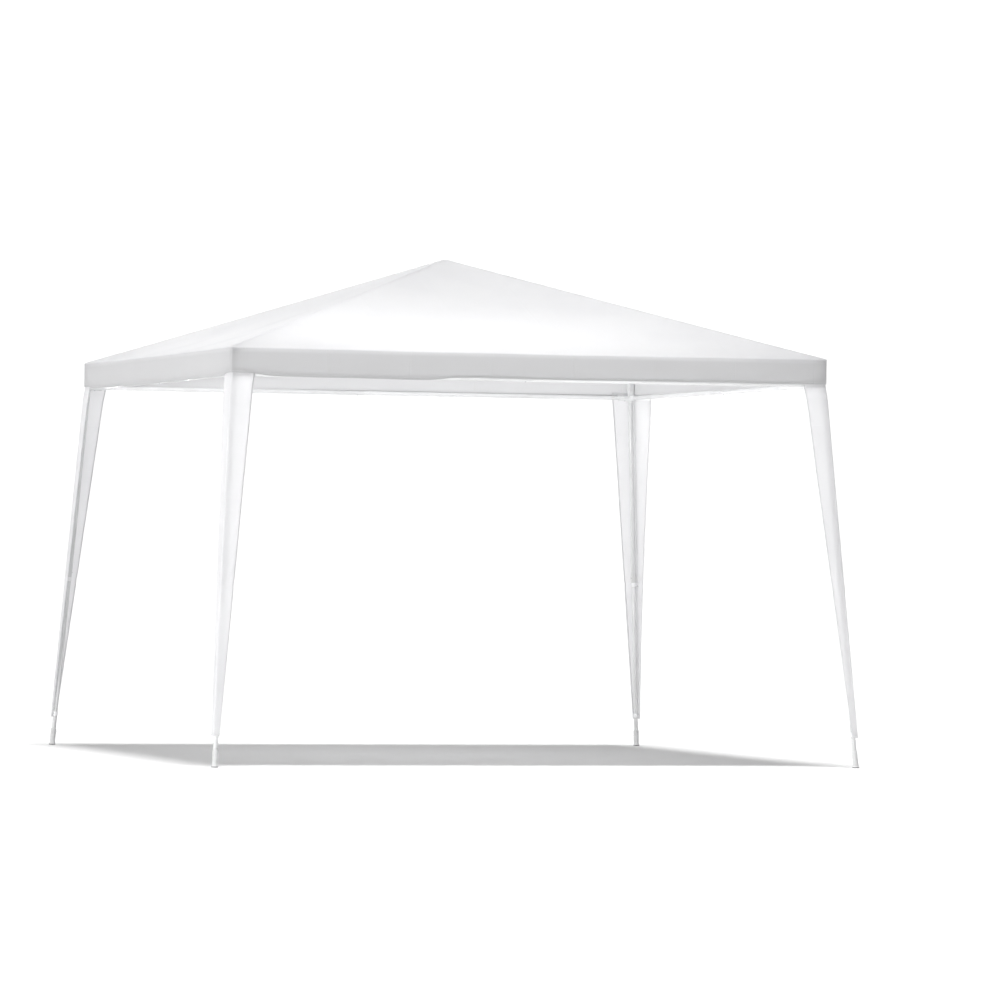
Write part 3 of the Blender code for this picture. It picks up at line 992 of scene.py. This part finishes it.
def hip_point(row, ring, offset, lift):
    """A point near a side's right-hand hip, offset along the cloth: below 0 on this side of the hip."""
    arc = ring.bend * math.pi / 4
    away = abs(offset)
    share = 1 if away <= arc else 1 - (away - arc) / (ring.out - ring.bend)
    turn = max(math.pi / 4 - away / ring.bend, 0)
    if offset > 0:
        return canopy_point(ROWS[(ROWS.index(row) + 1) % 4], -share, -turn, ring, lift)
    return canopy_point(row, share, turn, ring, lift)


def tape_rings():
    return [ring for ring in outside if ring.out > TAPE_START and ring.hang == 0]


def sheet_mesh(name, grid, spots, flipped=False, gone=()):
    """A sheet on rows of points. Spots are where they lie on the flat cloth, for its UV map."""
    form = bmesh.new()
    layer = form.loops.layers.uv.new("cloth")
    rows = [[form.verts.new(point) for point in line] for line in grid]
    for i in range(len(rows) - 1):
        for j in range(len(rows[0]) - 1):
            if (i, j) in gone:
                continue
            corners = [(i, j), (i + 1, j), (i + 1, j + 1), (i, j + 1)]
            if flipped:
                corners.reverse()
            verts = [rows[a][b] for a, b in corners]
            lay_face(form, layer, verts, [spots[a][b] for a, b in corners])
    loose = [vert for vert in form.verts if not vert.link_faces]
    bmesh.ops.delete(form, geom=loose, context="VERTS")
    return form_mesh(form, name)


def tape_mesh(row):
    """The tape over one hip, raised in the middle."""
    lifts = [TAPE_LOW + TAPE_RISE * (1 - column ** 4) for column in TAPE_COLUMNS]
    offsets = [column * TAPE_HALF for column in TAPE_COLUMNS]
    grid = []
    spots = []
    for ring in tape_rings():
        grid.append([hip_point(row, ring, *place) for place in zip(offsets, lifts)])
        spots.append([(offset, ring.path) for offset in offsets])
    return sheet_mesh(f"hip_tape_{row}", grid, spots)


def twisted_thread(tree):
    """Twisted polyester thread."""
    place = object_place(tree)
    return {
        "Base Color": tint(tree, grain(tree, place, 300, 2), THREAD_WHITE, THREAD_GREY),
        "Normal": relief(tree, grain(tree, place, 2500, 1), 0.0001, 0.6),
        "Roughness": 0.6,
    }


def stitches_tree():
    """Short rods laid nose to tail along every line of a mesh."""
    inputs = {"Lines": "Geometry", "Pitch": "Float", "Length": "Float", "Radius": "Float"}
    inputs.update({"Seed": "Int", "Thread": "Material"})
    tree, given = growing_tree("stitches_along_lines", inputs)
    curves = add_node(tree, "GeometryNodeMeshToCurve", {"Mesh": given["Lines"]})
    inputs = {"Curve": curves, "Length": given["Pitch"]}
    spaced = add_node(tree, "GeometryNodeResampleCurve", inputs, mode="LENGTH")
    tangent = add_node(tree, "GeometryNodeInputTangent", {})
    inputs = {"Vertices": STITCH_SIDES, "Side Segments": 1}
    inputs.update({"Radius": given["Radius"], "Depth": given["Length"]})
    rod = add_node(tree, "GeometryNodeMeshCylinder", inputs)
    copying = {"Points": spaced, "Instance": rod, "Rotation": aligned(tree, tangent)}
    copying["Scale"] = random_number(tree, given["Seed"], *STITCH_SIZES)
    end_tree(tree, copying, given["Thread"])
    return tree


def stitched(name, lines, seed):
    """Stitches along lines, each a list of points."""
    points = []
    edges = []
    for line in lines:
        first = len(points)
        edges += [(first + step, first + step + 1) for step in range(len(line) - 1)]
        points += line
    mesh = bpy.data.meshes.new(name)
    mesh.from_pydata(points, edges, [])
    values = {"Pitch": STITCH_PITCH, "Length": STITCH_LENGTH, "Radius": STITCH_RADIUS}
    values.update({"Seed": seed, "Thread": thread})
    piece = grown_piece(name, mesh, stitching, values)
    settle(piece, "canopy_fabric")
    return piece


def ring_line(ring, lift):
    """A line right round the tent along one ring of the cloth."""
    columns = side_columns()[:-1]
    line = [canopy_point(row, *column, ring, lift) for row in ROWS for column in columns]
    return line + line[:1]


def ring_at(path):
    """The ring at a length down the outside of the cloth, between the two nearest."""
    after = next(i for i, ring in enumerate(outside) if ring.path > path)
    low, high = outside[after - 1], outside[after]
    share = (path - low.path) / (high.path - low.path)
    return Ring(*[a + (b - a) * share for a, b in zip(low, high)])


thread = new_finish("thread", twisted_thread)
stitching = stitches_tree()
for number, row in enumerate(ROWS):
    tape = new_piece(f"hip_tape_{row}", tape_mesh(row), canopy_cloth)
    settle(tape, "canopy_fabric")
    lift = TAPE_RISE + STITCH_SINK
    lines = [[hip_point(row, ring, side * TAPE_ROW, lift) for ring in tape_rings()] for side in (-1, 1)]
    stitched(f"hip_stitches_{row}", lines, number)
hem_line = ring_line(ring_at(outside[-1].path - HEM_ROW), STITCH_SINK)
eave_line = ring_line(ring_at(outside[-1].path - SKIRT_DROP - EAVE_ROW), STITCH_SINK)
stitched("hem_stitches", [hem_line], HEM_SEED)
stitched("eave_stitches", [eave_line], EAVE_SEED)

# Leg covers.
# A tapered strip of the same cloth is folded round each corner, its top sewn in behind the skirt's
# hem and its edges hemmed. One side wing, at the back right, hangs turned out at the top.
# Painted light: the covers' colour is whiter than the canopy's, standing in for light falling through
# them.
COVER_PAINTED_LIGHT = (0.94, 0.94, 0.945)
COVER_PAINTED_LIGHT_GREY = (0.88, 0.88, 0.89)
COVER_THROUGH = 0.62
COVER_CREASED = 0.4
COVER_DEPTH = 0.0008
COVER_FOOT_WIDTH = 0.032
COVER_FOLD = 0.009
COVER_TUCK = 0.024
COVER_TUCK_INSET = 0.0042
COVER_TUCK_START = -0.005
COVER_TUCK_EASE = 0.09
COVER_WAVE = 0.005
COVER_WAVES = (2.6, 5.1, 3.3)
COVER_LOOSE_DOWN = 0.3
COVER_LOOSE_OUT = 1.5
WRINKLE_SHARE = 0.4
WRINKLE_WAVES = 3
COVER_PUCKER = 0.035
COVER_PUCKER_HEIGHT = 0.885
COVER_PUCKER_REACH = 0.014
COVER_HEM = 0.007
COVER_HEM_GAP = 0.0017
COVER_HEM_TURN = ((0.0002, 0.5), (-0.0006, 1), (-COVER_HEM, 1))
COVER_HEM_SPREAD = 4
COVER_ROW = 0.005
COVER_SEED = 20
COVER_PROBE = 0.001
COVER_STEPS = 90
COVER_ACROSS = 12
COVER_TURN = {"back_right": math.radians(40)}

cover_low, cover_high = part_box("leg_cover_front_left")
COVER_TOP_WIDTH = cover_high.x + EAVE_OUT
COVER_FALL = HEM_LOW - cover_low.z
COVER_DOWNS = [COVER_FALL * step / COVER_STEPS for step in range(COVER_STEPS + 1)]


def cover_width(down):
    """Width of each wing, metres down from the skirt's edge."""
    share = max(down, 0) / COVER_FALL
    width = COVER_TOP_WIDTH + (COVER_FOOT_WIDTH - COVER_TOP_WIDTH) * share
    off = (HEM_LOW - down - COVER_PUCKER_HEIGHT) / COVER_PUCKER_REACH
    return width * (1 - COVER_PUCKER * math.exp(-off * off))


def cover_flank(place, down):
    """Direction of the side wing."""
    side = PLACES[place]
    turn = COVER_TURN.get(place, 0) * (1 - max(down, 0) / COVER_FALL)
    return Vector((side[0] * math.sin(turn), -side[1] * math.cos(turn), 0))


def along_with(direction, other):
    """A direction or its opposite, whichever leans towards another."""
    return direction if direction.dot(other) >= 0 else -direction


def cover_skin(place, down, reach):
    """A point on a cover's outer face: metres down from the skirt's edge and round from the fold."""
    side = PLACES[place]
    share = max(down, 0) / COVER_FALL
    out_x = EAVE_OUT + (-cover_low.x - EAVE_OUT) * share
    out_y = EAVE_OUT + (-cover_low.y - EAVE_OUT) * share
    inset = COVER_TUCK_INSET * (1 - smooth((down - COVER_TUCK_START) / COVER_TUCK_EASE))
    corner = Vector((side[0] * (out_x - inset), side[1] * (out_y - inset), HEM_LOW - down))
    front = Vector((-side[0], 0, 0))
    flank = cover_flank(place, down)
    if reach < -COVER_FOLD:
        spot = corner - front * reach
    elif reach > COVER_FOLD:
        spot = corner + flank * reach
    else:
        step = (reach / COVER_FOLD + 1) / 2
        start = corner + front * COVER_FOLD
        end = corner + flank * COVER_FOLD
        spot = start.lerp(corner, step).lerp(corner.lerp(end, step), step)
    loose = (abs(reach) / COVER_TOP_WIDTH) ** COVER_LOOSE_OUT * smooth(down / COVER_LOOSE_DOWN)
    waves, place_step, flank_step = COVER_WAVES
    number = list(PLACES).index(place)
    along = Vector((down * waves, number * place_step + (flank_step if reach > 0 else 0), 0))
    wave = noise.noise(along) + WRINKLE_SHARE * noise.noise(along * WRINKLE_WAVES)
    outward = Vector((flank.y, -flank.x, 0)) if reach > 0 else Vector((0, side[1], 0))
    return spot + along_with(outward, Vector((*side, 0))) * COVER_WAVE * wave * loose


def cover_point(place, down, reach, lift=0.0):
    """A point on a leg cover, lifted off its outer face."""
    spot = cover_skin(place, down, reach)
    below = cover_skin(place, down + COVER_PROBE, reach) - spot
    beside = cover_skin(place, down, reach + COVER_PROBE) - spot
    outward = below.cross(beside).normalized()
    return spot + along_with(outward, Vector((*PLACES[place], 0))) * lift


def cover_columns(down):
    """Columns across a cover, from hem to hem, as reach and lift."""
    width = cover_width(down)
    columns = [(width * step / COVER_ACROSS, 0) for step in range(-COVER_ACROSS, COVER_ACROSS + 1)]
    turn = [(width + wider, -COVER_HEM_GAP * share) for wider, share in COVER_HEM_TURN]
    return [(-reach, lift) for reach, lift in reversed(turn)] + columns + turn


def cover_mesh(place):
    """The cover as one sheet, its free edges turned in as hems. A turned wing has no tuck."""
    grid = []
    spots = []
    gone = []
    for i, down in enumerate([-COVER_TUCK, -COVER_TUCK / 2] + COVER_DOWNS):
        columns = cover_columns(down)
        grid.append([cover_point(place, down, *column) for column in columns])
        spots.append([(reach + lift * COVER_HEM_SPREAD, down) for reach, lift in columns])
        if place in COVER_TURN and down < 0:
            gone += [(i, j) for j, (reach, _) in enumerate(columns) if reach >= 0]
    side = PLACES[place]
    return sheet_mesh(f"leg_cover_{place}", grid, spots, side[0] * side[1] > 0, gone)


def cover_lines(place):
    """Stitch lines down both hems of a cover."""
    lines = []
    for way in (-1, 1):
        places = [(down, way * (cover_width(down) - COVER_ROW)) for down in COVER_DOWNS]
        lines.append([cover_point(place, *spot, STITCH_SINK) for spot in places])
    return lines


# The covers' cloth is painted whiter, as light.
cover_painted_look = (COVER_PAINTED_LIGHT, COVER_PAINTED_LIGHT_GREY, COVER_THROUGH, None, COVER_CREASED)
cover_cloth_painted_light = new_finish("cover_cloth_painted_light", woven_cloth, *cover_painted_look)
for number, place in enumerate(PLACES):
    cover = new_piece(f"leg_cover_{place}_sheet", cover_mesh(place), cover_cloth_painted_light)
    thicken(cover, COVER_DEPTH)
    settle(cover, "canopy_fabric", f"leg_cover_{place}")
    rows = stitched(f"cover_stitches_{place}", cover_lines(place), COVER_SEED + number)

# Straps.
# Bands of white webbing hold the cloth to the frame: one round each rafter, sewn under the roof, and
# two round each leg, sewn inside its cover.
STRAP_WIDTH = 0.022
STRAP_SHARES = (-0.5, -0.25, 0, 0.25, 0.5)
STRAP_DEPTH = 0.0012
STRAP_CLEAR = 0.0006
STRAP_TAB = 0.026
STRAP_ARC_STEPS = 10
WEBBING_WHITE = (0.84, 0.84, 0.85)
WEBBING_GREY = (0.70, 0.70, 0.72)
WEBBING_TAPE = 0.0011
LEG_STRAP_HEIGHTS = (0.885, 0.166)
LEG_STRAP_REACH = 0.030
LEG_STRAP_EDGE = 0.003
LEG_STRAP_TABS = (0.45, 0.75)
LEG_STRAP_WRAP = 82
RAFTER_STRAP_SHARE = 0.8
RAFTER_STRAP_GAP = 0.004


def woven_webbing(tree):
    """Woven polyester webbing, darker between the threads as painted shade."""
    weave = weave_height(tree, *on_cloth(tree), WEBBING_TAPE)
    # Painted shade: lower parts of the weave are tinted grey.
    shade = spread(tree, weave, 0.0, 0.6, 1.0, 0.0)
    return {
        "Base Color": tint(tree, shade, WEBBING_WHITE, WEBBING_GREY),
        "Normal": relief(tree, weave, 0.0003, 0.7),
        "Roughness": 0.7,
    }


def band_piece(name, path, across):
    """A flat band along a path, its width along one direction."""
    runs = [0]
    for point, after in zip(path, path[1:]):
        runs.append(runs[-1] + (after - point).length)
    grid = [[point + across * STRAP_WIDTH * share for share in STRAP_SHARES] for point in path]
    spots = [[(share * STRAP_WIDTH, run) for share in STRAP_SHARES] for run in runs]
    piece = new_piece(name, sheet_mesh(name, grid, spots), webbing)
    thicken(piece, STRAP_DEPTH, 0)
    settle(piece, "canopy_fabric")
    return piece


def arc_points(centre, first, second, radius, start, end):
    """Points on an arc. Angles are in degrees from the first direction towards the second."""
    points = []
    for step in range(STRAP_ARC_STEPS + 1):
        angle = math.radians(start + (end - start) * step / STRAP_ARC_STEPS)
        points.append(centre + first * radius * math.cos(angle) + second * radius * math.sin(angle))
    return points


def rafter_strap(place):
    """A band from the cloth round a rafter's lower tube and back to the cloth."""
    side = PLACES[place]
    start, end, radius = tubes[f"rafter_{place}_lower"]
    centre = start.lerp(end, RAFTER_STRAP_SHARE)
    along = (end - start).normalized()
    level = Vector((side[0], -side[1], 0)).normalized()
    up = along_with(level.cross(along).normalized(), UP)
    ceiling = PEAK_TOP - PITCH * abs(centre.x) - CLOTH_DEPTH - STRAP_DEPTH
    rise = (ceiling - centre.z) * up.z - RAFTER_STRAP_GAP
    droop = PITCH / math.sqrt(2)

    def tab(aside):
        return centre + level * aside + up * (rise - droop * abs(aside))

    arc = arc_points(centre, -level, -up, radius + STRAP_CLEAR + STRAP_DEPTH / 2, 0, 180)
    path = [tab(-STRAP_TAB), tab(-STRAP_TAB / 2)] + arc + [tab(STRAP_TAB / 2), tab(STRAP_TAB)]
    return band_piece(f"rafter_strap_{place}", path, along)


def leg_strap(place, height):
    """A band across the inside of a leg cover that goes round behind the leg."""
    side = PLACES[place]
    start, up, radius = lower_end(f"upper_leg_{place}")
    if height < start.z:
        start, up, radius = lower_end(f"lower_leg_{place}")
    centre = start + up * (height - start.z) / up.z
    down = HEM_LOW - height
    inside = -COVER_DEPTH - COVER_HEM_GAP - STRAP_DEPTH
    reach = min(LEG_STRAP_REACH, cover_width(down) - LEG_STRAP_EDGE)
    front = Vector((-side[0], 0, 0))
    inner = (front + cover_flank(place, down)).normalized()
    around = along_with(UP.cross(inner), front)
    tabs = [reach * share for share in LEG_STRAP_TABS]
    path = [cover_point(place, down, -tab, inside) for tab in tabs]
    loop = radius + STRAP_CLEAR + STRAP_DEPTH / 2
    path += arc_points(centre, inner, around, loop, LEG_STRAP_WRAP, -LEG_STRAP_WRAP)
    path += [cover_point(place, down, tab, inside) for tab in reversed(tabs)]
    return band_piece(f"leg_strap_{place}_{round(height * 1000)}", path, up)


webbing = new_finish("webbing", woven_webbing)
for place in PLACES:
    rafter_strap(place)
    for height in LEG_STRAP_HEIGHTS:
        leg_strap(place, height)
